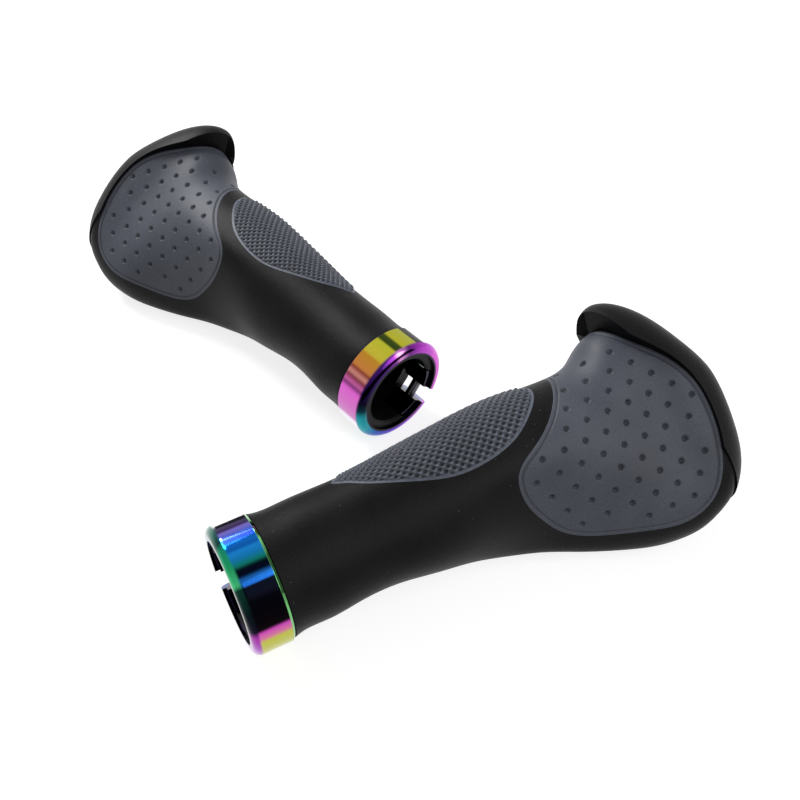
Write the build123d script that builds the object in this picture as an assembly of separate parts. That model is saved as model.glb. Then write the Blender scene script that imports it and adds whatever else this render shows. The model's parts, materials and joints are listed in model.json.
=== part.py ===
from build123d import *
import os
from math import cos, radians, sin

os.makedirs("parts", exist_ok=True)

# A pair of winged lock-on handlebar grips, left and right, lying side by side.
# Lengths are millimetres and angles are degrees.
# A grip is drawn in its own frame: X is the bar axis and runs outboard from the inboard
# face of the clamp, Y points to the fingers and Z points out of the palm pad.

# Bar and core sleeve
bar_diameter = 22.2
bar_clearance = 0.05
core_wall = 1.5
core_end_wall = 2.0
core_end = 132.0
spigot_wall = 2.3
spigot_setback = 0.9
spigot_notch_clearance = 0.5
core_ribs = 6
core_rib_height = 0.8
core_rib_width = 2.0

# Clamp ring
clamp_width = 10.5
clamp_wall = 3.4
clamp_fit = 0.05
clamp_lip = 2.3
clamp_bevel = 0.6
clamp_gap = 5.0
clamp_gap_angle = 285.0
clamp_boss_reach = 8.0
clamp_boss_setback = 1.1

# Pinch screw
screw_diameter = 3.0
screw_hole_clearance = 0.15
screw_thread_clearance = 0.05
screw_head_diameter = 5.0
screw_head_height = 2.0
screw_head_clearance = 0.25
screw_seat = 4.5
screw_end = 7.0
screw_end_clearance = 0.4
screw_hex = 2.5
screw_hex_depth = 1.1
screw_bar_clearance = 0.4

# Rubber body and its inlaid panels
body_start_gap = 0.3
panel_thickness = 1.2
pad_lower_edge = -6.0
insert_angle = 20.0
palm_end = 133.4
flange_start = 114.8
horn_foot = (118.3, 24.7, -0.6)
horn_wall = (-0.96, -0.28, 0.07)
horn_facet = (-0.815, -0.467, 0.342)

# How the pair lies
rest_roll = 40.0
rest_pitch = 5.1
right_yaw = 28.4
left_yaw = -46.4
left_from_right = (40.9, 77.4)

bar_radius = bar_diameter / 2 + bar_clearance
core_radius = bar_radius + core_wall
spigot_radius = bar_radius + spigot_wall
clamp_bore = spigot_radius + clamp_fit
clamp_radius = clamp_bore + clamp_wall
body_start = clamp_width + body_start_gap
screw_offset = bar_radius + screw_bar_clearance + screw_diameter / 2

# Guide lines of the grip: (distance along the bar, value)
front_line = [(10, 16.1), (20, 15.7), (30, 15.8), (40, 16.1), (50, 17.1), (60, 18.1), (70, 19.1),
              (80, 19.7), (90, 19.3), (100, 19.1), (106, 19.9), (110, 21.9), (114, 24.8), (118, 25.8),
              (124, 25.0), (130, 20.5), (136, 15.0)]
crown_line = [(10, 16.1), (20, 15.7), (30, 15.3), (40, 15.4), (60, 16.4), (75, 16.9), (85, 16.9),
              (95, 16.4), (105, 15.6), (113, 15.0), (120, 14.9), (126, 16.2), (130, 17.6), (136, 18.6)]
rear_line = [(10, 16.4), (20, 15.7), (30, 14.9), (36, 14.7), (42, 15.2), (50, 16.5), (60, 18.0),
             (70, 20.5), (80, 23.4), (90, 27.5), (100, 31.4), (110, 34.6), (118, 35.8), (124, 35.6),
             (130, 33.6), (136, 30.0)]
rear_height_line = [(10, 0), (45, 0), (60, -3), (75, -5), (85, -4.5), (95, -2.5), (110, 0), (136, 1)]
bottom_line = [(10, 16.2), (35, 15.0), (60, 15.6), (85, 15.8), (110, 15.0), (136, 15.0)]
front_fullness_line = [(10, 2.0), (40, 2.15), (104, 2.15), (118, 3.0), (136, 3.0)]
palm_fullness_line = [(10, 2.0), (45, 2.0), (60, 1.7), (75, 1.35), (85, 1.35), (100, 1.55), (110, 2.0),
                      (118, 2.4), (136, 2.6)]
heel_fullness_line = [(10, 2.0), (50, 2.0), (85, 2.15), (108, 2.4), (136, 2.4)]


def follow(line, x):
    """Value of a guide line at x, as a smooth curve through its points."""
    if x <= line[0][0]:
        return line[0][1]
    if x >= line[-1][0]:
        return line[-1][1]
    i = max(k for k in range(len(line) - 1) if line[k][0] <= x)

    def slope(k):
        a = line[max(k - 1, 0)]
        b = line[min(k + 1, len(line) - 1)]
        return (b[1] - a[1]) / (b[0] - a[0])

    (x0, y0), (x1, y1) = line[i], line[i + 1]
    h = x1 - x0
    t = (x - x0) / h
    return (y0 * (1 + 2 * t) * (1 - t) ** 2 + slope(i) * h * t * (1 - t) ** 2
            + y1 * t * t * (3 - 2 * t) + slope(i + 1) * h * t * t * (t - 1))


def power(value, exponent):
    """Signed power, which rounds a quarter of a section between an ellipse and a box."""
    return abs(value) ** exponent * (1 if value >= 0 else -1)


def section(x, front, front_z, crown, rear, rear_z, bottom, fullness):
    """Closed section across the bar: four quarters that meet at front, crown, rear and bottom."""
    upper_front, upper_rear, lower_rear, lower_front = fullness
    points = []
    for k in range(16):
        a = radians(22.5 * k)
        c, s = cos(a), sin(a)
        if c >= 0:
            reach, tip = front, front_z
            full = upper_front if s >= 0 else lower_front
        else:
            reach, tip = rear, rear_z
            full = upper_rear if s >= 0 else lower_rear
        height = crown - tip if s >= 0 else bottom + tip
        points.append((x, reach * power(c, 2 / full), tip + height * power(s, 2 / full)))
    return Face(Wire([Spline(points, periodic=True)]))


def palm_form(inset=0.0):
    """The grip without its end flange; inset draws the same form that much smaller."""
    stations = [body_start, 20, 30, 40, 51, 62, 72, 82, 91, 99, 105, 109, 113, 118, 123, 128, palm_end]
    sections = []
    for x in stations:
        sections.append(section(
            x, follow(front_line, x) - inset, 0, follow(crown_line, x) - inset,
            follow(rear_line, x) - inset, follow(rear_height_line, x), follow(bottom_line, x) - inset,
            (follow(front_fullness_line, x), follow(palm_fullness_line, x), follow(heel_fullness_line, x), 2.0)))
    return loft(sections)


def end_flange():
    """The raised rim that closes the outer end and stands up as a horn at the front."""
    stations = [(flange_start, 30.5, 5.0, 17.4, 34.5, 14.4, 1.65, 2.2),
                (flange_start + 2.5, 32.2, 5.0, 19.2, 35.8, 15.2, 1.7, 2.2),
                (122, 32.6, 5.0, 19.8, 36.4, 15.4, 1.8, 2.2),
                (128, 29.2, 4.6, 19.7, 35.5, 15.6, 1.9, 2.4),
                (133, 23.8, 4.0, 18.8, 33.0, 15.4, 2.0, 2.5),
                (137, 17.6, 3.5, 17.3, 29.4, 14.8, 2.0, 2.6),
                (140, 12.4, 3.0, 14.8, 25.6, 13.4, 2.0, 2.6),
                (142, 8.0, 2.0, 11.4, 21.6, 11.4, 2.0, 2.5),
                (143.3, 4.0, 1.0, 7.6, 18.0, 8.0, 2.0, 2.4)]
    sections = []
    for x, front, front_z, crown, rear, bottom, lower_front, upper_rear in stations:
        sections.append(section(x, front, front_z, crown, rear, 0.5, bottom,
                                (1.9, upper_rear, 2.35, lower_front)))
    return loft(sections) - (in_front(horn_foot, horn_wall) & in_front(horn_foot, horn_facet))


def in_front(point, normal):
    """Large block that fills the space on the outer side of a plane."""
    return Plane(origin=point, z_dir=normal) * Box(160, 160, 60, align=(Align.CENTER, Align.CENTER, Align.MIN))


def pad_prism():
    """Everything over the palm pad's outline, seen square to the palm."""
    outline = Spline([(118.3, 24.7), (122.1, 18.9), (127.8, 11.6), (131.7, 3.0), (132.6, -7.0),
                      (130.8, -19.5), (126.3, -28.0), (118.3, -31.0), (108.0, -29.4), (97.0, -26.0),
                      (86.6, -21.1), (79.5, -14.2), (75.2, -7.4), (75.0, -1.9), (81.4, 3.1),
                      (89.3, 8.2), (94.6, 13.4), (98.8, 19.0)])
    front = Polyline([outline @ 1, (100.5, 30.0), (113.8, 30.0), outline @ 0])
    face = make_face(outline.edges() + front.edges())
    return Pos(0, 0, pad_lower_edge) * extrude(face, 40)


def insert_prism():
    """Everything in front of the finger insert's egg-shaped outline."""
    half = [(34.6, 2.8), (38.6, 6.2), (44.6, 9.3), (51.5, 11.7), (59.0, 13.4), (66.5, 13.9), (73.5, 13.5),
            (79.5, 12.2), (85.0, 9.5), (89.5, 5.6)]
    lower = [(x, -y) for x, y in reversed(half)]
    outline = Spline([(32.7, 0)] + half + [(91.8, 0)] + lower, periodic=True)
    return Rot(insert_angle - 90, 0, 0) * Pos(0, 0, 4) * extrude(make_face(outline.edges()), 40)


def tube_length(radius, start, end):
    """Solid round bar on the grip's axis."""
    return Pos((start + end) / 2, 0, 0) * Rot(0, 90, 0) * Cylinder(radius, end - start)


def toward_gap(shape):
    """Turns what is drawn with the clamp's gap at +Y round to where the gap faces."""
    return Rot(clamp_gap_angle, 0, 0) * shape


def core_sleeve():
    """Stiff sleeve on the bar, closed outboard, with a spigot for the clamp and keying ribs."""
    sleeve = tube_length(core_radius, clamp_width, core_end)
    rib_start = body_start + 4
    rib_length = core_end - 4 - rib_start
    for k in range(core_ribs):
        rib = Box(rib_length, core_rib_width, core_radius + core_rib_height,
                  align=(Align.MIN, Align.CENTER, Align.MIN))
        sleeve += Rot(k * 360 / core_ribs, 0, 0) * Pos(rib_start, 0, 0) * rib
    sleeve += tube_length(spigot_radius, spigot_setback, clamp_width)
    return sleeve


def bar_hole():
    """The bar's room in the sleeve, with a lead-in at its mouth."""
    lead = Pos(spigot_setback + 0.3, 0, 0) * Rot(0, -90, 0) * Cone(bar_radius, bar_radius + 0.6, 0.6)
    return tube_length(bar_radius, spigot_setback - 1, core_end - core_end_wall) + lead


def spigot_notch():
    """Open-ended notch in the spigot that the clamp's two lugs slide into."""
    width = 2 * (clamp_boss_reach + spigot_notch_clearance)
    notch = Box(clamp_width - spigot_setback + 1, 2 * spigot_radius, width,
                align=(Align.MAX, Align.MIN, Align.CENTER))
    return toward_gap(Pos(clamp_width, 0, 0) * notch)


def screw_bore(radius, start, end):
    """Round hole or pin along the pinch screw's axis, across the gap."""
    return Pos(clamp_width / 2, screw_offset, (start + end) / 2) * Cylinder(radius, end - start)


def clamp_ring():
    """Split ring with a rolled inboard lip, two lugs inside it and the pinch screw's holes."""
    profile = Pos(clamp_width / 2, clamp_bore + clamp_wall / 2) * Rectangle(clamp_width, clamp_wall)
    lip = profile.vertices().sort_by(Axis.Y)[2:].sort_by(Axis.X)
    profile = chamfer(fillet(lip[0], clamp_lip).vertices().sort_by(Axis((0, 0, 0), (1, 1, 0)))[-1], clamp_bevel)
    ring = revolve(profile, Axis.X)
    lug_start = clamp_boss_setback
    lug_end = clamp_width - clamp_boss_setback
    lugs = Pos(lug_start, 0, 0) * Box(lug_end - lug_start, clamp_radius, 2 * clamp_boss_reach,
                                      align=(Align.MIN, Align.MIN, Align.CENTER))
    lugs = lugs & (tube_length(clamp_bore + clamp_wall / 2, lug_start, lug_end)
                   - tube_length(bar_radius, 0, clamp_width))
    ring += lugs
    ring -= Pos(clamp_width / 2, clamp_radius, 0) * Box(2 * clamp_width, 2 * clamp_radius, clamp_gap)
    ring -= screw_bore(screw_diameter / 2 + screw_hole_clearance, 0, screw_seat + 1)
    ring -= screw_bore(screw_head_diameter / 2 + screw_head_clearance, screw_seat, screw_seat + 12)
    ring -= screw_bore(screw_diameter / 2 + screw_thread_clearance, -screw_end - screw_end_clearance, 0)
    return toward_gap(ring)


def pinch_screw():
    """Low-head socket screw that draws the clamp's gap together."""
    screw = screw_bore(screw_diameter / 2, -screw_end, screw_seat)
    screw += screw_bore(screw_head_diameter / 2, screw_seat, screw_seat + screw_head_height)
    hexagon = RegularPolygon(screw_hex / 2, 6, major_radius=False)
    top = screw_seat + screw_head_height
    screw -= Pos(clamp_width / 2, screw_offset, top - screw_hex_depth) * extrude(hexagon, screw_hex_depth)
    return toward_gap(screw)


def build_grip():
    """All pieces of the right-hand grip in its own frame."""
    palm = palm_form()
    bed = palm_form(panel_thickness)
    pad_block = pad_prism()
    insert_block = insert_prism()
    solid_core = core_sleeve()
    skin = palm - bed
    pad = pad_block & skin
    insert = insert_block & skin
    body = palm + end_flange()
    body = body - (pad_block - bed) - insert
    body -= solid_core
    core = solid_core - bar_hole() - spigot_notch()
    return {"core_sleeve": core, "grip_body": body, "palm_pad": pad, "finger_insert": insert,
            "clamp_ring": clamp_ring(), "pinch_screw": pinch_screw()}


def main():
    pieces = {}
    for name, shape in build_grip().items():
        one = Rot(0, -rest_pitch, 0) * Rot(rest_roll, 0, 0) * shape.solids().sort_by(SortBy.VOLUME)[-1]
        pieces["right_" + name] = Rot(0, 0, right_yaw) * one
        left = Rot(0, 0, left_yaw) * mirror(one, about=Plane.YZ)
        pieces["left_" + name] = Pos(left_from_right[0], left_from_right[1], 0) * left
    outside = [pieces[side + name] for side in ("right_", "left_") for name in ("grip_body", "clamp_ring")]
    box = Compound(outside).bounding_box()
    for name, piece in pieces.items():
        export_step(Pos(-box.center().X, -box.center().Y, -box.min.Z) * piece, "parts/" + name + ".step")
    print("centre", box.center(), "bottom", box.min.Z)


main()
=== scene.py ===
import bmesh
import bpy
import json
import math
from mathutils import Matrix, Vector


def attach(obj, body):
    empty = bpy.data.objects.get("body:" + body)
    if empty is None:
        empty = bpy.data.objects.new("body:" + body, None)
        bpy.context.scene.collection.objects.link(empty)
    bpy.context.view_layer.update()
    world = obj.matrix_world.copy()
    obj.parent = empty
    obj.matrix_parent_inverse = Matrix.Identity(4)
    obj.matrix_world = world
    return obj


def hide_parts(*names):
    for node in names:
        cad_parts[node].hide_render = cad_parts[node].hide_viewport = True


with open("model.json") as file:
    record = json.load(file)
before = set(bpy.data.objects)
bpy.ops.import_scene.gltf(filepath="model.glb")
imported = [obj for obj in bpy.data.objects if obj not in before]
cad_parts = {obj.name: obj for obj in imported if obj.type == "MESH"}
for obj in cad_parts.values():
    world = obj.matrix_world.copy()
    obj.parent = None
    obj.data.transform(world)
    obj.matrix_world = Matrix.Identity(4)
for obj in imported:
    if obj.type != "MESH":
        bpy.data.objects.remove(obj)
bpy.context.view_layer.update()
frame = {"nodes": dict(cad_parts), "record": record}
record = frame["record"]
cadNodes = frame["nodes"]
sides = ("right", "left")
mm = 0.001


# where each grip lies: "along" runs outboard on the bar's axis, "up" is the way the palm pad faces
gripPlace = {"palmRoll": 40.0, "lugSetback": 1.1 * mm}


def findGrip(side):
    bore = next(m for m in record["mounts"] if m["name"] == side + "_bar_bore")
    along = -Vector(bore["axis"]).normalized()
    hand = 1 if side == "right" else -1
    level = hand * Vector((0, 0, 1)).cross(along).normalized()
    rise = hand * along.cross(level)
    roll = math.radians(gripPlace["palmRoll"])
    across = math.cos(roll) * level + math.sin(roll) * rise
    up = math.cos(roll) * rise - math.sin(roll) * level
    halfBore = bore["dims"]["length_mm"] * mm / 2
    start = Vector(bore["pos_m"]) - along * (halfBore + gripPlace["lugSetback"])
    return {"start": start, "along": along, "across": across, "up": up}


grips = {side: findGrip(side) for side in sides}
print("frame loaded, grips placed")


# small helpers for node trees

placeInputs = [(name, "Vector") for name in ("Start", "Along", "Across", "Up")]


def feed(tree, socket, item):
    if isinstance(item, bpy.types.NodeSocket):
        tree.links.new(item, socket)
    elif item is not None:
        socket.default_value = item


def calc(tree, operation, *values, clamp=False):
    node = tree.nodes.new("ShaderNodeMath")
    node.operation = operation
    node.use_clamp = clamp
    for socket, value in zip(node.inputs, values):
        feed(tree, socket, value)
    return node.outputs[0]


def calcVector(tree, operation, *values, scale=None):
    node = tree.nodes.new("ShaderNodeVectorMath")
    node.operation = operation
    for socket, value in zip(node.inputs, values):
        feed(tree, socket, value)
    if scale is not None:
        feed(tree, node.inputs["Scale"], scale)
    return node.outputs["Value"] if operation in ("DOT_PRODUCT", "DISTANCE") else node.outputs[0]


def ease(tree, value, low, high):
    node = tree.nodes.new("ShaderNodeMapRange")   # 0 at low, 1 at high, smooth between, either way round
    node.interpolation_type = "SMOOTHSTEP"
    feed(tree, node.inputs["Value"], value)
    feed(tree, node.inputs["From Min"], low)
    feed(tree, node.inputs["From Max"], high)
    return node.outputs["Result"]


def addSockets(tree, inputs, outputs):
    for way, sockets in (("INPUT", inputs), ("OUTPUT", outputs)):
        for name, kind in sockets:
            tree.interface.new_socket(name, in_out=way, socket_type="NodeSocket" + kind)
    return tree.nodes.new("NodeGroupInput").outputs, tree.nodes.new("NodeGroupOutput").inputs


def blend(tree, share, first, second):
    node = tree.nodes.new("ShaderNodeMix")   # first where share is 0, second where it is 1
    node.data_type = "RGBA"
    feed(tree, node.inputs["Factor"], share)
    feed(tree, node.inputs["A"], first)
    feed(tree, node.inputs["B"], second)
    return node.outputs["Result"]


def addNoise(tree, vector, scale, detail):
    node = tree.nodes.new("ShaderNodeTexNoise")
    feed(tree, node.inputs["Vector"], vector)
    feed(tree, node.inputs["Scale"], scale)
    node.inputs["Detail"].default_value = detail
    return node.outputs["Fac"]


def srgb(red, green, blue):
    def linear(c):
        c /= 255
        return c / 12.92 if c <= 0.04045 else ((c + 0.055) / 1.055) ** 2.4
    return (linear(red), linear(green), linear(blue), 1.0)


# shared shader groups

grainShape = {"grainDetail": 3, "cloudScale": 55, "cloudDetail": 4, "cloudShare": 0.5, "wornFrom": 0.35,
              "wornTo": 0.7, "speckScale": 520, "speckInner": 0.03, "speckOuter": 0.1, "speckRarity": 0.52,
              "speckColour": (104, 104, 106), "unevenness": 0.18}


def makeMouldedGrain():
    tree = bpy.data.node_groups.new("mouldedGrain", "ShaderNodeTree")
    given, out = addSockets(
        tree,
        [("Colour", "Color"), ("Worn Colour", "Color"), ("Grain Size", "Float"),
         ("Grain Depth", "Float"), ("Roughness", "Float"), ("Dust", "Float")],
        [("Colour", "Color"), ("Roughness", "Float"), ("Normal", "Vector")])
    place = tree.nodes.new("ShaderNodeTexCoord").outputs["Object"]
    frequency = calc(tree, "DIVIDE", 1 / mm, given["Grain Size"])
    grain = addNoise(tree, place, frequency, grainShape["grainDetail"])
    cloud = addNoise(tree, place, grainShape["cloudScale"], grainShape["cloudDetail"])   # slow unevenness
    cloudShare = grainShape["cloudShare"]
    both = calc(tree, "ADD", calc(tree, "MULTIPLY", grain, 1 - cloudShare),
                calc(tree, "MULTIPLY", cloud, cloudShare))
    worn = ease(tree, both, grainShape["wornFrom"], grainShape["wornTo"])
    colour = blend(tree, worn, given["Colour"], given["Worn Colour"])
    specks = tree.nodes.new("ShaderNodeTexVoronoi")   # a few grains of dust caught in the surface
    tree.links.new(place, specks.inputs["Vector"])
    specks.inputs["Scale"].default_value = grainShape["speckScale"]
    fade = ease(tree, specks.outputs["Distance"], grainShape["speckInner"], grainShape["speckOuter"])
    isSpeck = calc(tree, "SUBTRACT", 1.0, fade)
    isRare = calc(tree, "GREATER_THAN", cloud, grainShape["speckRarity"])
    dust = calc(tree, "MULTIPLY", calc(tree, "MULTIPLY", isSpeck, isRare), given["Dust"])
    tree.links.new(blend(tree, dust, colour, srgb(*grainShape["speckColour"])), out["Colour"])
    uneven = calc(tree, "MULTIPLY", calc(tree, "SUBTRACT", cloud, 0.5), grainShape["unevenness"])
    tree.links.new(calc(tree, "ADD", given["Roughness"], uneven, clamp=True), out["Roughness"])
    bump = tree.nodes.new("ShaderNodeBump")
    bump.inputs["Distance"].default_value = mm
    tree.links.new(given["Grain Depth"], bump.inputs["Strength"])
    tree.links.new(grain, bump.inputs["Height"])
    tree.links.new(bump.outputs["Normal"], out["Normal"])
    return tree


def makeRoundPlace():
    tree = bpy.data.node_groups.new("roundPlace", "ShaderNodeTree")
    given, out = addSockets(tree, placeInputs, [("Turn", "Float"), ("Reach", "Float"), ("Radius", "Float")])
    place = tree.nodes.new("ShaderNodeTexCoord").outputs["Object"]
    away = calcVector(tree, "SUBTRACT", place, given["Start"])
    reach = calcVector(tree, "DOT_PRODUCT", away, given["Along"])
    side = calcVector(tree, "DOT_PRODUCT", away, given["Across"])
    top = calcVector(tree, "DOT_PRODUCT", away, given["Up"])
    turn = calc(tree, "DIVIDE", calc(tree, "ARCTAN2", top, side), 2 * math.pi)
    tree.links.new(calc(tree, "FRACT", turn), out["Turn"])   # 0 at the across side, 0.25 at the top
    tree.links.new(calc(tree, "DIVIDE", reach, mm), out["Reach"])
    squares = calc(tree, "ADD", calc(tree, "MULTIPLY", side, side), calc(tree, "MULTIPLY", top, top))
    tree.links.new(calc(tree, "DIVIDE", calc(tree, "SQRT", squares), mm), out["Radius"])
    return tree


mouldedGrain = makeMouldedGrain()
roundPlace = makeRoundPlace()


def startMaterial(name):
    material = bpy.data.materials.new(name)
    material.use_nodes = True
    tree = material.node_tree
    tree.nodes.clear()
    shader = tree.nodes.new("ShaderNodeBsdfPrincipled")
    output = tree.nodes.new("ShaderNodeOutputMaterial")
    tree.links.new(shader.outputs[0], output.inputs["Surface"])
    return material, tree, shader


def placeGroup(tree, group, **values):
    node = tree.nodes.new("ShaderNodeGroup")
    node.node_tree = group
    for name, value in values.items():
        node.inputs[name].default_value = value
    return node


def makeRubber(name, look, paintedShadeName=None):
    material, tree, shader = startMaterial(name)
    grain = placeGroup(tree, mouldedGrain, **{
        "Colour": srgb(*look["colour"]), "Worn Colour": srgb(*look["paleColour"]),
        "Grain Size": look["grainSize"], "Grain Depth": look["grainDepth"],
        "Roughness": look["roughness"], "Dust": look.get("dust", 0.0)})
    colour = grain.outputs["Colour"]
    if paintedShadeName:   # painted shade: the bottoms of pits and grooves are darkened in the colour, as they hold less light
        hollow = tree.nodes.new("ShaderNodeAttribute")
        hollow.attribute_name = paintedShadeName
        share = calc(tree, "MULTIPLY", hollow.outputs["Fac"], look["paintedShadeShare"])
        colour = blend(tree, share, colour, srgb(*look["paintedShadeColour"]))
    tree.links.new(colour, shader.inputs["Base Color"])
    tree.links.new(grain.outputs["Roughness"], shader.inputs["Roughness"])
    tree.links.new(grain.outputs["Normal"], shader.inputs["Normal"])
    shader.inputs["Specular IOR Level"].default_value = look["specular"]
    return material


def placeRound(tree, grip):
    return placeGroup(tree, roundPlace, Start=grip["start"], Along=grip["along"],
                      Across=grip["across"], Up=grip["up"])


def dress(node, material):
    for slot in node.material_slots:
        slot.material = material


# grip bodies: black moulded rubber

bodyLook = {"colour": (3, 3, 4), "paleColour": (19, 19, 21), "grainSize": 0.35, "grainDepth": 0.12,
            "roughness": 0.42, "specular": 0.08, "dust": 0.5}
bodyRubber = makeRubber("bodyRubber", bodyLook)
for side in sides:
    dress(cadNodes[side + "_grip_body"], bodyRubber)
print("grip bodies dressed")


# core sleeves: hard black plastic

coreLook = {"colour": (8, 8, 9), "paleColour": (16, 16, 17), "grainSize": 0.6, "grainDepth": 0.04,
            "roughness": 0.36, "specular": 0.1}
corePlastic = makeRubber("corePlastic", coreLook)
for side in sides:
    dress(cadNodes[side + "_core_sleeve"], corePlastic)
print("core sleeves dressed")


# clamp rings: polished aluminium with a rainbow coating, with painted highlights and painted reflections in
# the colour that runs round the ring

# lengths are in mm and reach is from the clamp's mouth; a stop is (degrees round the ring, colour). In the
# barrel and lip stops the near-white bands are painted highlights, the near-black bands are painted
# reflections of dark things around, and the rest is the coating's own colour
ringLook = {
    "lipFull": 1.38, "lipEnd": 2.254, "chamferStart": 9.75, "chamferBlend": 0.2,
    "innerRadius": 14.3, "innerBlend": 0.4, "roughness": 0.07, "roughnessSpread": 0.06,
    "lineScale": 9, "lineDetail": 3, "lineDepth": 0.02,
    "innerWall": (26, 18, 40), "rightChamfer": (112, 190, 112), "leftChamfer": (96, 60, 110),
    "rightBarrel": [
        (-60, (70, 120, 150)), (-30, (170, 190, 200)), (-16, (250, 250, 252)), (19, (250, 247, 252)),
        (23, (40, 14, 66)), (34, (44, 18, 84)), (36, (118, 104, 190)), (44, (60, 92, 196)),
        (46, (16, 28, 96)), (50, (18, 44, 120)), (52, (16, 96, 180)), (58, (16, 84, 160)),
        (60, (26, 122, 196)), (66, (22, 112, 168)), (72, (16, 110, 96)), (75, (6, 12, 24)),
        (81, (4, 10, 30)), (83, (24, 84, 150)), (88, (22, 76, 150)), (90, (4, 6, 14)),
        (129, (8, 4, 6)), (132, (190, 70, 170)), (139, (206, 120, 150)), (143, (186, 186, 70)),
        (200, (182, 184, 84)), (240, (150, 110, 60)), (270, (60, 30, 80))],
    "leftBarrel": [
        (-60, (60, 150, 150)), (-30, (170, 210, 205)), (-17, (248, 252, 246)), (18, (250, 252, 250)),
        (21, (22, 20, 10)), (30, (24, 22, 8)), (32, (168, 170, 56)), (49, (176, 170, 40)),
        (51, (58, 72, 22)), (58, (48, 62, 24)), (60, (178, 178, 48)), (77, (186, 172, 56)),
        (80, (180, 128, 40)), (94, (188, 120, 60)), (97, (130, 58, 44)), (102, (196, 130, 120)),
        (106, (120, 50, 60)), (111, (186, 90, 150)), (115, (120, 50, 110)), (120, (196, 90, 180)),
        (150, (190, 116, 180)), (157, (246, 238, 250)), (182, (246, 250, 252)), (195, (70, 170, 176)),
        (225, (50, 80, 180)), (260, (110, 50, 150))],
    "rightLip": [
        (0, (24, 110, 96)), (28, (16, 90, 76)), (45, (10, 60, 56)), (52, (24, 128, 96)),
        (70, (30, 140, 90)), (86, (60, 170, 110)), (90, (12, 50, 40)), (112, (8, 20, 24)),
        (130, (16, 12, 30)), (136, (150, 44, 150)), (160, (150, 60, 176)), (200, (130, 50, 160)),
        (240, (60, 50, 150)), (300, (30, 90, 150))],
    "leftLip": [
        (0, (184, 80, 190)), (24, (160, 56, 176)), (44, (96, 30, 116)), (58, (214, 140, 206)),
        (64, (120, 44, 140)), (78, (60, 24, 96)), (104, (34, 14, 70)), (126, (10, 8, 26)),
        (136, (8, 40, 52)), (146, (24, 130, 140)), (166, (30, 150, 160)), (188, (40, 90, 180)),
        (216, (84, 54, 190)), (250, (150, 60, 190)), (310, (200, 90, 196))]}


def fillRamp(ramp, stops):
    stops = sorted(((angle % 360) / 360, colour) for angle, colour in stops)
    elements = ramp.color_ramp.elements
    elements[0].position, elements[0].color = stops[0][0], srgb(*stops[0][1])
    elements[1].position, elements[1].color = stops[-1][0], srgb(*stops[-1][1])
    for position, colour in stops[1:-1]:
        elements.new(position).color = srgb(*colour)


def makeRainbowMetalWithPaintedReflections(side):
    material, tree, shader = startMaterial(side + "RainbowAluminiumPaintedReflections")
    place = placeRound(tree, grips[side])
    reach, radius = place.outputs["Reach"], place.outputs["Radius"]
    colours = {}
    # the ramps give the coating's colour with painted highlights and painted reflections in it
    for part in ("Barrel", "Lip"):
        ramp = tree.nodes.new("ShaderNodeValToRGB")
        fillRamp(ramp, ringLook[side + part])
        tree.links.new(place.outputs["Turn"], ramp.inputs["Fac"])
        colours[part] = ramp.outputs["Color"]
    isLip = ease(tree, reach, ringLook["lipEnd"], ringLook["lipFull"])
    colour = blend(tree, isLip, colours["Barrel"], colours["Lip"])
    chamferStart = ringLook["chamferStart"]
    isChamfer = ease(tree, reach, chamferStart, chamferStart + ringLook["chamferBlend"])
    colour = blend(tree, isChamfer, colour, srgb(*ringLook[side + "Chamfer"]))
    # painted shade: the inner wall of the bore is painted dark
    innerRadius = ringLook["innerRadius"]
    isInner = ease(tree, radius, innerRadius, innerRadius - ringLook["innerBlend"])
    colour = blend(tree, isInner, colour, srgb(*ringLook["innerWall"]))
    tree.links.new(colour, shader.inputs["Base Color"])
    shader.inputs["Metallic"].default_value = 1.0
    lines = tree.nodes.new("ShaderNodeTexNoise")   # fine turning lines round the ring
    lines.noise_dimensions = "1D"
    tree.links.new(reach, lines.inputs["W"])
    lines.inputs["Scale"].default_value = ringLook["lineScale"]
    lines.inputs["Detail"].default_value = ringLook["lineDetail"]
    spread = ringLook["roughnessSpread"]
    rough = calc(tree, "MULTIPLY", lines.outputs["Fac"], spread)
    rough = calc(tree, "ADD", rough, ringLook["roughness"] - spread / 2)
    tree.links.new(rough, shader.inputs["Roughness"])
    bump = tree.nodes.new("ShaderNodeBump")
    bump.inputs["Distance"].default_value = mm
    bump.inputs["Strength"].default_value = ringLook["lineDepth"]
    tree.links.new(lines.outputs["Fac"], bump.inputs["Height"])
    tree.links.new(bump.outputs["Normal"], shader.inputs["Normal"])
    return material


for side in sides:
    dress(cadNodes[side + "_clamp_ring"], makeRainbowMetalWithPaintedReflections(side))
print("clamp rings dressed")


# pinch screws: dark plated steel

screwLook = {"colour": (60, 60, 64), "brightColour": (120, 120, 126), "grainScale": 900, "grainDetail": 2,
             "roughness": 0.3, "roughnessSpread": 0.2}


def makeScrewSteel():
    material, tree, shader = startMaterial("screwSteel")
    place = tree.nodes.new("ShaderNodeTexCoord").outputs["Object"]
    grain = addNoise(tree, place, screwLook["grainScale"], screwLook["grainDetail"])
    colour = blend(tree, grain, srgb(*screwLook["colour"]), srgb(*screwLook["brightColour"]))
    tree.links.new(colour, shader.inputs["Base Color"])
    shader.inputs["Metallic"].default_value = 1.0
    spread = screwLook["roughnessSpread"]
    rough = calc(tree, "MULTIPLY", grain, spread)
    rough = calc(tree, "ADD", rough, screwLook["roughness"] - spread / 2)
    tree.links.new(rough, shader.inputs["Roughness"])
    return material


screwSteel = makeScrewSteel()
for side in sides:
    dress(cadNodes[side + "_pinch_screw"], screwSteel)
print("pinch screws dressed")


# the pads and inserts start from their solids, with a finer outer face

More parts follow.
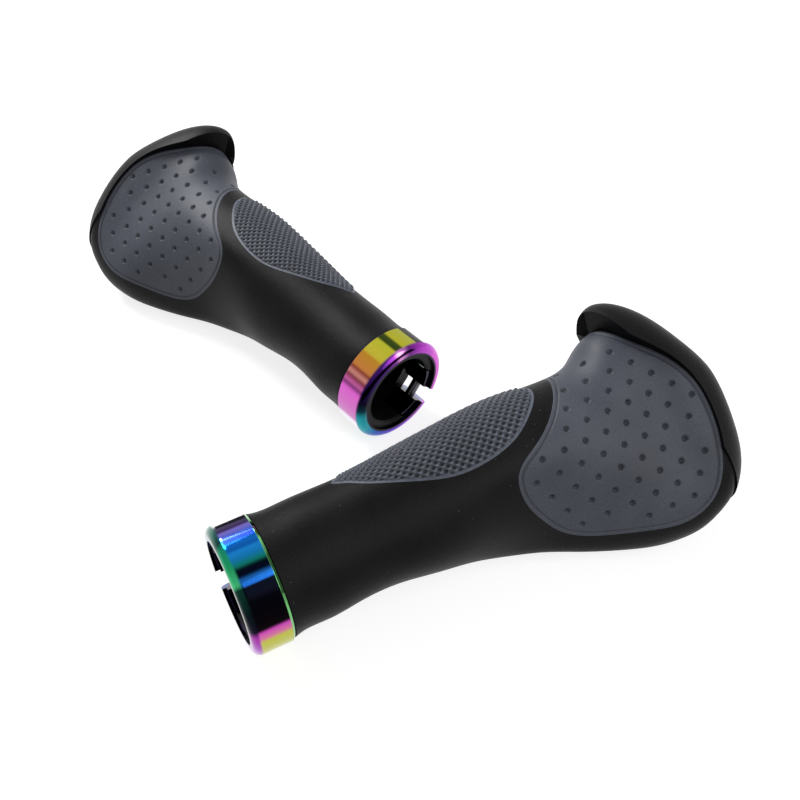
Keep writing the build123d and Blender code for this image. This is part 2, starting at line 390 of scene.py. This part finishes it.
def refineFace(node, outward, creaseAngle, longestEdge, passes=4, facing=0.95, weld=1e-6):
    # copies the solid; each pass halves the edges of its outer face that are longer than longestEdge
    bm = bmesh.new()
    bm.from_mesh(node.data)
    bmesh.ops.remove_doubles(bm, verts=bm.verts, dist=weld)
    bm.normal_update()
    isOuter = bm.faces.layers.int.new("outerFace")
    facingOut = [f for f in bm.faces if f.normal.dot(outward) > facing]
    seed = max(facingOut, key=lambda f: f.calc_center_median().dot(outward))
    seed[isOuter] = 1
    waiting = [seed]
    while waiting:   # the outer face is all that the seed reaches without crossing a crease
        for edge in waiting.pop().edges:
            if edge.calc_face_angle() < creaseAngle:
                for face in edge.link_faces:
                    if not face[isOuter]:
                        face[isOuter] = 1
                        waiting.append(face)
    for _ in range(passes):
        longEdges = [e for e in bm.edges
                     if any(f[isOuter] for f in e.link_faces) and e.calc_length() > longestEdge]
        bmesh.ops.subdivide_edges(bm, edges=longEdges, cuts=1)
        bmesh.ops.triangulate(bm, faces=[f for f in bm.faces if len(f.verts) > 3])
    outline = bm.edges.layers.int.new("outline")
    for edge in bm.edges:
        edge[outline] = sum(f[isOuter] for f in edge.link_faces) == 1
    outerPoint = bm.verts.layers.int.new("outerPoint")
    for vert in bm.verts:
        vert[outerPoint] = all(f[isOuter] for f in vert.link_faces)
    mesh = bpy.data.meshes.new(node.name + "Fine")
    bm.to_mesh(mesh)
    bm.free()
    return mesh


def socketName(key):
    return "".join(" " + c if c.isupper() else c for c in key).title()   # rimWidth gives Rim Width


def startTree(name, sizes):
    tree = bpy.data.node_groups.new(name, "GeometryNodeTree")
    inputs = [("Geometry", "Geometry")] + placeInputs
    inputs += [(socketName(key), "Float") for key in sizes]
    inputs += [("Material", "Material")]
    given, out = addSockets(tree, inputs, [("Geometry", "Geometry")])
    return tree, given, out


def setInputs(modifier, values):
    for item in modifier.node_group.interface.items_tree:
        if item.item_type == "SOCKET" and item.in_out == "INPUT" and item.name in values:
            modifier[item.identifier] = values[item.name]


def growPiece(name, mesh, tree, values, sharpAngle):
    # runs the node tree on the mesh and keeps the result as one plain mesh
    draft = bpy.data.objects.new(name + "Draft", mesh)
    bpy.context.scene.collection.objects.link(draft)
    modifier = draft.modifiers.new("grow", "NODES")
    modifier.node_group = tree
    setInputs(modifier, values)
    bpy.context.view_layer.update()
    graph = bpy.context.evaluated_depsgraph_get()
    result = bpy.data.meshes.new_from_object(draft.evaluated_get(graph), depsgraph=graph)
    draft.modifiers.remove(modifier)
    bpy.data.objects.remove(draft)
    result.name = name
    for polygon in result.polygons:
        polygon.use_smooth = True
    result.set_sharp_from_angle(angle=sharpAngle)
    piece = bpy.data.objects.new(name, result)
    bpy.context.scene.collection.objects.link(piece)
    return piece


def readOutline(tree, geometry):
    # the outline's edges alone, to measure distances from
    mark = tree.nodes.new("GeometryNodeInputNamedAttribute")
    mark.data_type = "INT"
    mark.inputs["Name"].default_value = "outline"
    part = tree.nodes.new("GeometryNodeSeparateGeometry")
    part.domain = "EDGE"
    tree.links.new(geometry, part.inputs["Geometry"])
    tree.links.new(mark.outputs["Attribute"], part.inputs["Selection"])
    return part.outputs["Selection"]


def distanceTo(tree, edges, position=None):
    node = tree.nodes.new("GeometryNodeProximity")
    node.target_element = "EDGES"
    tree.links.new(edges, node.inputs["Geometry"])
    feed(tree, node.inputs["Sample Position"], position)   # without one, the point's own
    return node.outputs["Distance"]


def moveAlongNormal(tree, geometry, amount):
    # shifts the outer face's own points, outwards where amount is positive
    mark = tree.nodes.new("GeometryNodeInputNamedAttribute")
    mark.data_type = "INT"
    mark.inputs["Name"].default_value = "outerPoint"
    mover = tree.nodes.new("GeometryNodeSetPosition")
    tree.links.new(geometry, mover.inputs["Geometry"])
    tree.links.new(mark.outputs["Attribute"], mover.inputs["Selection"])
    normal = tree.nodes.new("GeometryNodeInputNormal").outputs["Normal"]
    tree.links.new(calcVector(tree, "SCALE", normal, scale=amount), mover.inputs["Offset"])
    return mover.outputs["Geometry"]


def keepValue(tree, geometry, name, value):
    node = tree.nodes.new("GeometryNodeStoreNamedAttribute")
    node.data_type = "FLOAT"
    node.domain = "POINT"
    node.inputs["Name"].default_value = name
    tree.links.new(geometry, node.inputs["Geometry"])
    tree.links.new(value, node.inputs["Value"])
    return node.outputs["Geometry"]


def endTree(tree, geometry, material, output):
    realize = tree.nodes.new("GeometryNodeRealizeInstances")
    tree.links.new(geometry, realize.inputs["Geometry"])
    paint = tree.nodes.new("GeometryNodeSetMaterial")
    tree.links.new(realize.outputs["Geometry"], paint.inputs["Geometry"])
    tree.links.new(material, paint.inputs["Material"])
    tree.links.new(paint.outputs["Geometry"], output)


# palm pads: grey rubber with staggered round dimples and a groove inside the outline

# the darkest colour below is painted shade, laid into the dimples and the groove
padValues = {"colour": (54, 57, 66), "paleColour": (75, 78, 88), "grainSize": 0.3, "grainDepth": 0.06,
             "roughness": 0.5, "specular": 0.25, "paintedShadeColour": (8, 9, 13), "paintedShadeShare": 0.62,
             "creaseAngle": math.radians(24), "sharpAngle": math.radians(62), "longestEdge": 0.33 * mm,
             "dimplePitch": 6.7 * mm, "upperRowStep": 4.73 * mm, "lowerRowStep": 5.0 * mm,
             "firstPlace": 82.6 * mm, "firstRow": -0.3 * mm, "rowSlant": 0.055, "dropHeight": 30 * mm,
             "dimpleRadius": 0.98 * mm, "dimpleDepth": 0.75 * mm, "edgeGap": 2.7 * mm,
             "grooveInset": 1.2 * mm, "grooveWidth": 0.9 * mm, "grooveDepth": 0.32 * mm,
             "grooveShade": 0.6}
padSizes = ("dimplePitch", "upperRowStep", "lowerRowStep", "firstPlace", "firstRow", "rowSlant",
            "dropHeight", "dimpleRadius", "dimpleDepth", "edgeGap", "grooveInset", "grooveWidth",
            "grooveDepth", "grooveShade")


def makeDimpledPadTree():
    tree, given, out = startTree("dimpledPad", padSizes)
    edges = readOutline(tree, given["Geometry"])
    # the groove: a round-bottomed channel at a fixed distance from the outline
    fromMiddle = calc(tree, "SUBTRACT", distanceTo(tree, edges), given["Groove Inset"])
    halfWidth = calc(tree, "MULTIPLY", given["Groove Width"], 0.5)
    bank = ease(tree, calc(tree, "ABSOLUTE", fromMiddle), 0.0, halfWidth)
    groove = calc(tree, "SUBTRACT", 1.0, bank)
    # the nearest place in a field of staggered rows, which lie a little closer above the first row
    position = tree.nodes.new("GeometryNodeInputPosition").outputs[0]
    away = calcVector(tree, "SUBTRACT", position, given["Start"])
    reach = calcVector(tree, "DOT_PRODUCT", away, given["Along"])
    height = calcVector(tree, "DOT_PRODUCT", away, given["Across"])
    height = calc(tree, "SUBTRACT", height, given["First Row"])
    isUpper = calc(tree, "GREATER_THAN", height, 0.0)
    stepChange = calc(tree, "SUBTRACT", given["Upper Row Step"], given["Lower Row Step"])
    step = calc(tree, "MULTIPLY_ADD", isUpper, stepChange, given["Lower Row Step"])
    row = calc(tree, "ROUND", calc(tree, "DIVIDE", height, step))
    rowHeight = calc(tree, "MULTIPLY", row, step)
    stagger = calc(tree, "MULTIPLY", calc(tree, "FLOORED_MODULO", row, 2.0), 0.5)
    slanted = calc(tree, "MULTIPLY_ADD", rowHeight, given["Row Slant"], reach)
    fromFirst = calc(tree, "SUBTRACT", slanted, given["First Place"])
    place = calc(tree, "SUBTRACT", calc(tree, "DIVIDE", fromFirst, given["Dimple Pitch"]), stagger)
    toNearest = calc(tree, "SUBTRACT", calc(tree, "ROUND", place), place)
    alongShift = calc(tree, "MULTIPLY", toNearest, given["Dimple Pitch"])
    acrossShift = calc(tree, "SUBTRACT", rowHeight, height)
    shift = calcVector(tree, "ADD", calcVector(tree, "SCALE", given["Along"], scale=alongShift),
                       calcVector(tree, "SCALE", given["Across"], scale=acrossShift))
    lift = calcVector(tree, "SCALE", given["Up"], scale=given["Drop Height"])
    spot = calcVector(tree, "ADD", calcVector(tree, "ADD", position, shift), lift)
    # that place is dropped on to the face, and the dimple is centred where it lands
    drop = tree.nodes.new("GeometryNodeRaycast")
    feed(tree, drop.inputs["Target Geometry"], given["Geometry"])
    feed(tree, drop.inputs["Source Position"], spot)
    feed(tree, drop.inputs["Ray Direction"], calcVector(tree, "SCALE", given["Up"], scale=-1.0))
    feed(tree, drop.inputs["Ray Length"], calc(tree, "MULTIPLY", given["Drop Height"], 2.0))
    landing = drop.outputs["Hit Position"]
    isClear = calc(tree, "GREATER_THAN", distanceTo(tree, edges, landing), given["Edge Gap"])
    isRoomy = calc(tree, "MULTIPLY", drop.outputs["Is Hit"], isClear)
    fromLanding = calcVector(tree, "DISTANCE", position, landing)
    share = calc(tree, "DIVIDE", fromLanding, given["Dimple Radius"])
    bowl = calc(tree, "SUBTRACT", 1.0, calc(tree, "MULTIPLY", share, share))
    bowl = calc(tree, "MULTIPLY", calc(tree, "MAXIMUM", bowl, 0.0), isRoomy)
    sink = calc(tree, "ADD", calc(tree, "MULTIPLY", bowl, given["Dimple Depth"]),
                calc(tree, "MULTIPLY", groove, given["Groove Depth"]))
    # the painted shade of the dimples and the groove is stored before the points move, because it is read
    # from where they lie
    shade = calc(tree, "MAXIMUM", bowl, calc(tree, "MULTIPLY", groove, given["Groove Shade"]))
    shaded = keepValue(tree, given["Geometry"], "hollowShade", shade)
    pressed = moveAlongNormal(tree, shaded, calc(tree, "MULTIPLY", sink, -1.0))
    endTree(tree, pressed, given["Material"], out["Geometry"])
    return tree


def makePads():
    tree = makeDimpledPadTree()
    rubber = makeRubber("padRubber", padValues, "hollowShade")
    for side in sides:
        grip = grips[side]
        node = cadNodes[side + "_palm_pad"]
        fine = refineFace(node, grip["up"], padValues["creaseAngle"], padValues["longestEdge"])
        values = {"Start": grip["start"], "Along": grip["along"], "Across": grip["across"],
                  "Up": grip["up"], "Material": rubber}
        values.update({socketName(key): padValues[key] for key in padSizes})
        pad = growPiece(side + "PalmPad", fine, tree, values, padValues["sharpAngle"])
        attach(pad, side + "_grip")
        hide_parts(node.name)
        print(side, "palm pad made,", len(pad.data.polygons), "faces")


makePads()


# finger inserts: grey rubber with a knurl of crossing ridges inside a plain rim

# the darkest colour below is painted shade, laid into the pits of the knurl
insertValues = {"colour": (72, 76, 86), "paleColour": (88, 93, 105), "grainSize": 0.3, "grainDepth": 0.05,
                "roughness": 0.42, "specular": 0.25, "paintedShadeColour": (8, 10, 15), "paintedShadeShare": 0.95,
                "faceAngle": 20.0, "creaseAngle": math.radians(24), "sharpAngle": math.radians(50),
                "longestEdge": 0.24 * mm, "surfaceRadius": 17 * mm, "cellLength": 2.33 * mm,
                "cellWidth": 2.17 * mm, "ridgeShare": 0.66, "ridgeSlope": 0.55, "saddleDrop": 0.45,
                "ridgeHeight": 0.62 * mm, "pitDepth": 0.15 * mm, "rimWidth": 0.65 * mm,
                "rimSlope": 0.3 * mm}
insertSizes = ("surfaceRadius", "cellLength", "cellWidth", "ridgeShare", "ridgeSlope", "saddleDrop",
               "ridgeHeight", "pitDepth", "rimWidth", "rimSlope")


def makeKnurlTree():
    tree, given, out = startTree("knurledInsert", insertSizes)
    edges = readOutline(tree, given["Geometry"])
    position = tree.nodes.new("GeometryNodeInputPosition").outputs[0]
    away = calcVector(tree, "SUBTRACT", position, given["Start"])
    reach = calcVector(tree, "DOT_PRODUCT", away, given["Along"])
    angle = calc(tree, "ARCTAN2", calcVector(tree, "DOT_PRODUCT", away, given["Across"]),
                 calcVector(tree, "DOT_PRODUCT", away, given["Up"]))
    cellsAlong = calc(tree, "DIVIDE", reach, given["Cell Length"])
    wayAround = calc(tree, "MULTIPLY", angle, given["Surface Radius"])
    cellsAround = calc(tree, "DIVIDE", wayAround, given["Cell Width"])
    # two sets of slanting ridges, each flat on top and eased down at both sides
    low = calc(tree, "SUBTRACT", 1.0, given["Ridge Share"])
    high = calc(tree, "MULTIPLY_ADD", given["Ridge Share"], given["Ridge Slope"], low)
    ridges = []
    for operation in ("ADD", "SUBTRACT"):
        part = calc(tree, "FRACT", calc(tree, operation, cellsAlong, cellsAround))
        fromMiddle = calc(tree, "ABSOLUTE", calc(tree, "SUBTRACT", part, 0.5))
        ridges.append(ease(tree, calc(tree, "MULTIPLY", fromMiddle, 2.0), low, high))
    # the ridges are highest where two cross and sag between the crossings
    single = calc(tree, "SUBTRACT", 1.0, calc(tree, "MINIMUM", *ridges))
    saddle = calc(tree, "MULTIPLY", given["Saddle Drop"], single)
    ridge = calc(tree, "MULTIPLY", calc(tree, "MAXIMUM", *ridges),
                 calc(tree, "SUBTRACT", 1.0, saddle))
    rimEnd = calc(tree, "ADD", given["Rim Width"], given["Rim Slope"])
    inside = ease(tree, distanceTo(tree, edges), given["Rim Width"], rimEnd)
    travel = calc(tree, "ADD", given["Ridge Height"], given["Pit Depth"])
    relief = calc(tree, "SUBTRACT", calc(tree, "MULTIPLY", ridge, travel), given["Pit Depth"])
    knurled = moveAlongNormal(tree, given["Geometry"], calc(tree, "MULTIPLY", inside, relief))
    # painted shade: the pits between the crossing ridges are darkened in the colour, inside the rim
    shade = calc(tree, "MULTIPLY", inside, calc(tree, "SUBTRACT", 1.0, ridge))
    knurled = keepValue(tree, knurled, "hollowShade", shade)
    endTree(tree, knurled, given["Material"], out["Geometry"])
    return tree


def makeInserts():
    tree = makeKnurlTree()
    rubber = makeRubber("insertRubber", insertValues, "hollowShade")
    tilt = math.radians(insertValues["faceAngle"])
    for side in sides:
        grip = grips[side]
        outward = math.cos(tilt) * grip["across"] + math.sin(tilt) * grip["up"]
        around = math.cos(tilt) * grip["up"] - math.sin(tilt) * grip["across"]
        node = cadNodes[side + "_finger_insert"]
        fine = refineFace(node, outward, insertValues["creaseAngle"], insertValues["longestEdge"])
        values = {"Start": grip["start"], "Along": grip["along"], "Across": around,
                  "Up": outward, "Material": rubber}
        values.update({socketName(key): insertValues[key] for key in insertSizes})
        insert = growPiece(side + "FingerInsert", fine, tree, values, insertValues["sharpAngle"])
        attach(insert, side + "_grip")
        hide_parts(node.name)
        print(side, "finger insert made,", len(insert.data.polygons), "faces")


makeInserts()


# floor, light and camera

studio = {"floorSize": 6.0, "floorDrop": 0.1 * mm, "floorColour": 0.35, "floorRoughness": 0.9,
          "floorSpecular": 0.1, "floorLight": 0.8, "skyLight": 0.38,
          "keyPlace": (-0.55, 0.5, 0.75), "keyPower": 10.5, "keySize": 0.5,
          "fillPlace": (0.7, -0.5, 0.7), "fillPower": 6.0, "fillSize": 1.0}
white = (1, 1, 1, 1)


def findSeen(tree):
    # 1 where the eye, a mirror or glass looks at it, and 0 where it only gives light
    rays = tree.nodes.new("ShaderNodeLightPath").outputs
    indirect = calc(tree, "MAXIMUM", rays["Is Glossy Ray"], rays["Is Transmission Ray"])
    return calc(tree, "MAXIMUM", rays["Is Camera Ray"], indirect)


def makeFloor():
    bm = bmesh.new()
    bmesh.ops.create_grid(bm, x_segments=1, y_segments=1, size=studio["floorSize"] / 2)
    mesh = bpy.data.meshes.new("floor")
    bm.to_mesh(mesh)
    bm.free()
    mesh.transform(Matrix.Translation((0, 0, -studio["floorDrop"])))
    floor = bpy.data.objects.new("floor", mesh)
    bpy.context.scene.collection.objects.link(floor)
    material, tree, shader = startMaterial("paleFloor")
    shader.inputs["Base Color"].default_value = (studio["floorColour"],) * 3 + (1,)
    shader.inputs["Roughness"].default_value = studio["floorRoughness"]
    shader.inputs["Specular IOR Level"].default_value = studio["floorSpecular"]
    shader.inputs["Emission Color"].default_value = white
    glow = calc(tree, "MULTIPLY", findSeen(tree), studio["floorLight"])
    tree.links.new(glow, shader.inputs["Emission Strength"])
    mesh.materials.append(material)


def makeSky():
    world = bpy.data.worlds.new("paleStudio")
    bpy.context.scene.world = world
    world.use_nodes = True
    tree = world.node_tree
    tree.nodes.clear()
    extra = calc(tree, "MULTIPLY", findSeen(tree), 1 - studio["skyLight"])
    sky = tree.nodes.new("ShaderNodeBackground")
    tree.links.new(calc(tree, "ADD", extra, studio["skyLight"]), sky.inputs["Strength"])
    sky.inputs["Color"].default_value = white
    tree.links.new(sky.outputs[0], tree.nodes.new("ShaderNodeOutputWorld").inputs["Surface"])


def addLamp(name, place, size, power):
    light = bpy.data.lights.new(name, "AREA")
    light.shape = "DISK"
    light.size = size
    light.energy = power
    lamp = bpy.data.objects.new(name, light)
    lamp.location = place
    lamp.rotation_euler = (-Vector(place)).to_track_quat("-Z", "Y").to_euler()
    bpy.context.scene.collection.objects.link(lamp)


def makeCamera():
    # looks down at the pair from in front of the right grip's clamp; place is in mm from its mouth
    view = {"place": (40.358, -153.787, 193.694), "down": 40.372, "roll": -1.582, "lens": 45.0,
            "sensor": 36, "nearest": 5 * mm}
    eye = grips["right"]["start"] + Vector(view["place"]) * mm
    down, roll = math.radians(view["down"]), math.radians(view["roll"])
    forward = Vector((0, math.cos(down), -math.sin(down)))
    low = Vector((0, -math.sin(down), -math.cos(down)))
    right = Vector((1, 0, 0))
    turnedRight = math.cos(roll) * right + math.sin(roll) * low
    turnedLow = math.cos(roll) * low - math.sin(roll) * right
    lens = bpy.data.cameras.new("camera")
    lens.lens = view["lens"]
    lens.sensor_width = view["sensor"]
    lens.clip_start = view["nearest"]
    camera = bpy.data.objects.new("camera", lens)
    axes = Matrix((turnedRight, -turnedLow, -forward)).transposed()
    camera.matrix_world = Matrix.Translation(eye) @ axes.to_4x4()
    bpy.context.scene.collection.objects.link(camera)
    bpy.context.scene.camera = camera


makeFloor()
makeSky()
addLamp("keyLamp", studio["keyPlace"], studio["keySize"], studio["keyPower"])
addLamp("fillLamp", studio["fillPlace"], studio["fillSize"], studio["fillPower"])
makeCamera()
bpy.context.scene.view_settings.view_transform = "Standard"
print("floor, light and camera set")
